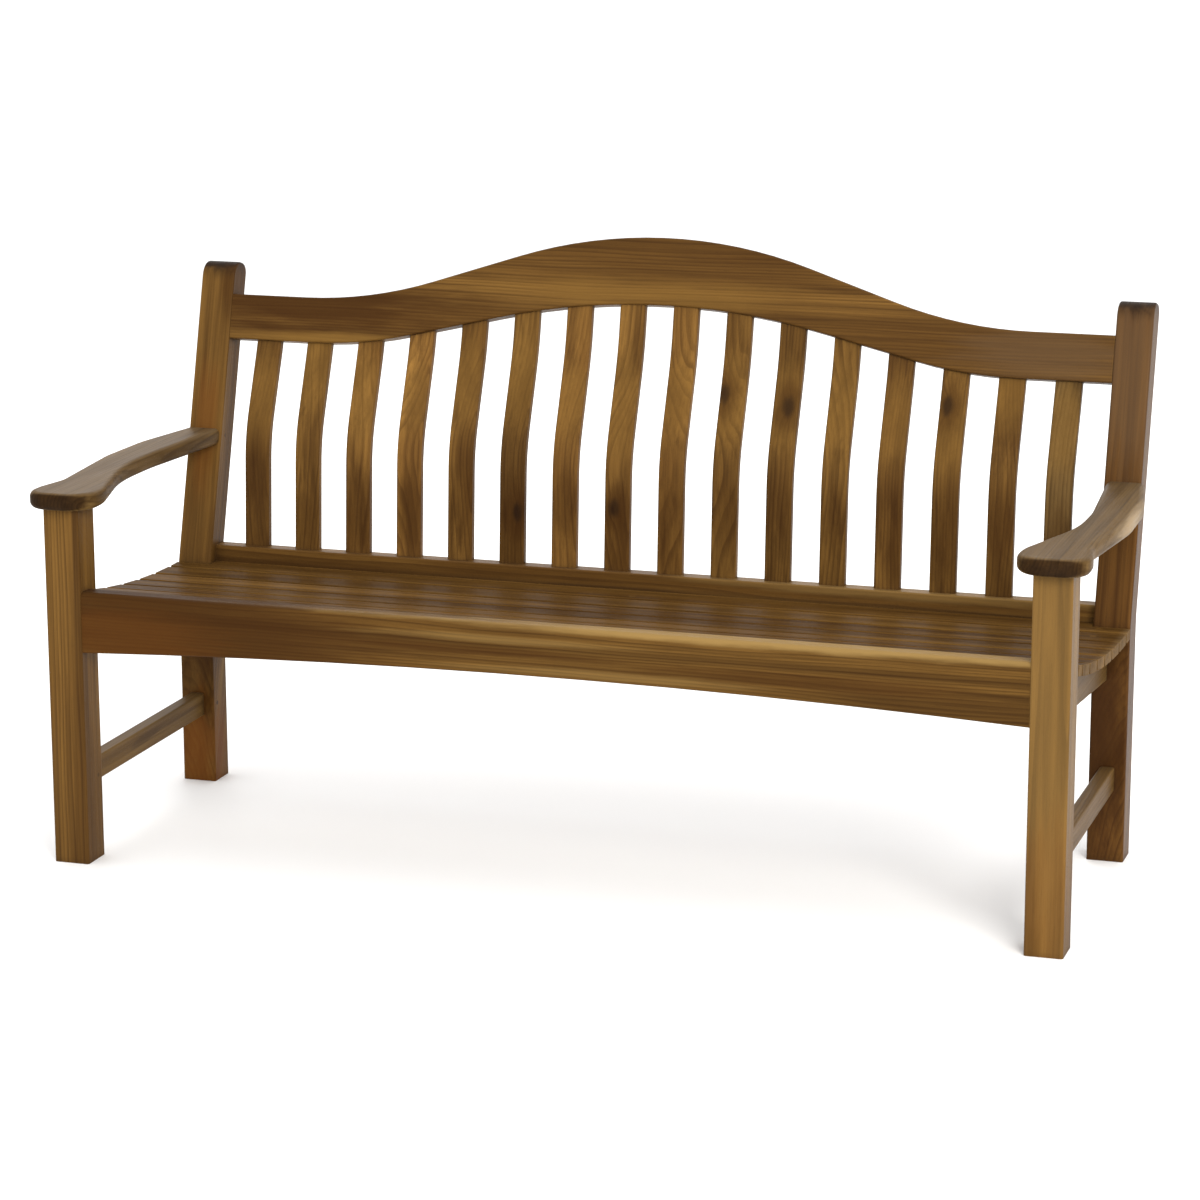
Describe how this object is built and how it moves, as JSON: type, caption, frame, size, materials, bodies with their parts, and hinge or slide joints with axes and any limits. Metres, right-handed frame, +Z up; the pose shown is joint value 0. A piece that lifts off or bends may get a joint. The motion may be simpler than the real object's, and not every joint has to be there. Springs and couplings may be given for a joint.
{
  "type": "garden bench",
  "caption": "Three-seat hardwood garden bench with a dished slatted seat, S-curved back slats, a camel-back crest rail and broad curved arms.",
  "frame": {"origin": "on the floor, in the middle of the bench's bounding box", "axes": "+X along the bench towards the viewer's right, +Y from the front to the back, +Z up"},
  "size_m": [1.7154, 0.7288, 0.9603],
  "materials": {
    "leg_wood": "oiled, satin, golden",
    "post_wood": "oiled, satin, dark",
    "side_rail_wood": "oiled, satin",
    "seat_rail_wood": "oiled, satin, reddish",
    "crest_wood": "oiled, satin",
    "back_slat_wood": "oiled, satin",
    "seat_slat_wood": "oiled, satin",
    "arm_wood": "oiled, satin, slightly weathered",
    "peg_wood": "oiled, end grain",
    "plug_wood": "oiled",
    "screw_steel": "plain"
  },
  "bodies": {
    "root": {"front_leg_left": "leg_wood", "front_leg_right": "leg_wood", "back_post_left": "post_wood", "back_post_right": "post_wood", "front_seat_rail": "seat_rail_wood", "rear_seat_rail": "seat_rail_wood", "side_seat_rail_left": "side_rail_wood", "side_seat_rail_right": "side_rail_wood", "centre_seat_bearer": "side_rail_wood", "side_stretcher_left": "side_rail_wood", "side_stretcher_right": "side_rail_wood", "arm_left": "arm_wood", "arm_right": "arm_wood", "crest_rail": "crest_wood", "back_slat_01": "back_slat_wood", "back_slat_02": "back_slat_wood", "back_slat_03": "back_slat_wood", "back_slat_04": "back_slat_wood", "back_slat_05": "back_slat_wood", "back_slat_06": "back_slat_wood", "back_slat_07": "back_slat_wood", "back_slat_08": "back_slat_wood", "back_slat_09": "back_slat_wood", "back_slat_10": "back_slat_wood", "back_slat_11": "back_slat_wood", "back_slat_12": "back_slat_wood", "back_slat_13": "back_slat_wood", "back_slat_14": "back_slat_wood", "back_slat_15": "back_slat_wood", "back_slat_16": "back_slat_wood", "seat_slat_1": "seat_slat_wood", "seat_slat_2": "seat_slat_wood", "seat_slat_3": "seat_slat_wood", "seat_slat_4": "seat_slat_wood", "seat_slat_5": "seat_slat_wood", "seat_slat_6": "seat_slat_wood", "seat_slat_7": "seat_slat_wood", "seat_slat_8": "seat_slat_wood", "seat_screws": "screw_steel", "seat_plugs": "plug_wood", "joint_pegs": "peg_wood"}
  },
  "joints": []
}
